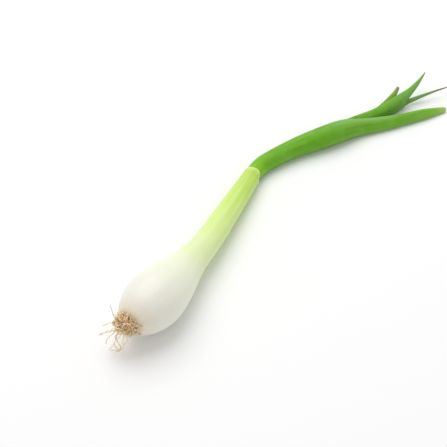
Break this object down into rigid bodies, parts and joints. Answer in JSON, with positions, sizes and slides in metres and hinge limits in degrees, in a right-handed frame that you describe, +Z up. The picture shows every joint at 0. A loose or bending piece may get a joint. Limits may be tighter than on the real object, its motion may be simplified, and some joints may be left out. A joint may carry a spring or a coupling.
{
  "type": "spring onion",
  "caption": "Bulb spring onion lying on its side, with a round white bulb, a tuft of fine roots, a pale sheath and curved tubular green leaves.",
  "frame": {"origin": "middle of the footprint, on the surface the onion lies on", "axes": "+Y along the plant from the roots to the leaf tips, +Z up, +X to the side the leaves bend to"},
  "size_m": [0.1002, 0.295, 0.0336],
  "materials": {
    "white_skin": "smooth moist skin with a soft gloss, white at the bulb and pale green towards the collar",
    "green_leaf": "smooth waxy green with a faint bluish bloom and fine lengthwise ribs",
    "pale_root": "dry, matt, straw to tan",
    "root_crust": "dry, rough, corky brown"
  },
  "bodies": {
    "root": {"bulb": "white_skin", "outer_leaf": "green_leaf", "inner_leaf": "green_leaf", "short_leaf": "green_leaf", "drying_leaf": "green_leaf", "root_plate": "root_crust", "root_01": "pale_root", "root_02": "pale_root", "root_03": "pale_root", "root_04": "pale_root", "root_05": "pale_root", "root_06": "pale_root", "root_07": "pale_root", "root_08": "pale_root", "root_09": "pale_root", "root_10": "pale_root", "root_11": "pale_root", "root_12": "pale_root", "root_13": "pale_root", "root_14": "pale_root", "root_15": "pale_root", "root_16": "pale_root", "root_17": "pale_root", "root_18": "pale_root", "root_19": "pale_root", "root_20": "pale_root", "root_21": "pale_root", "root_22": "pale_root", "root_23": "pale_root", "root_24": "pale_root", "root_25": "pale_root", "root_26": "pale_root", "root_27": "pale_root", "root_28": "pale_root", "root_29": "pale_root", "root_30": "pale_root"}
  },
  "joints": []
}
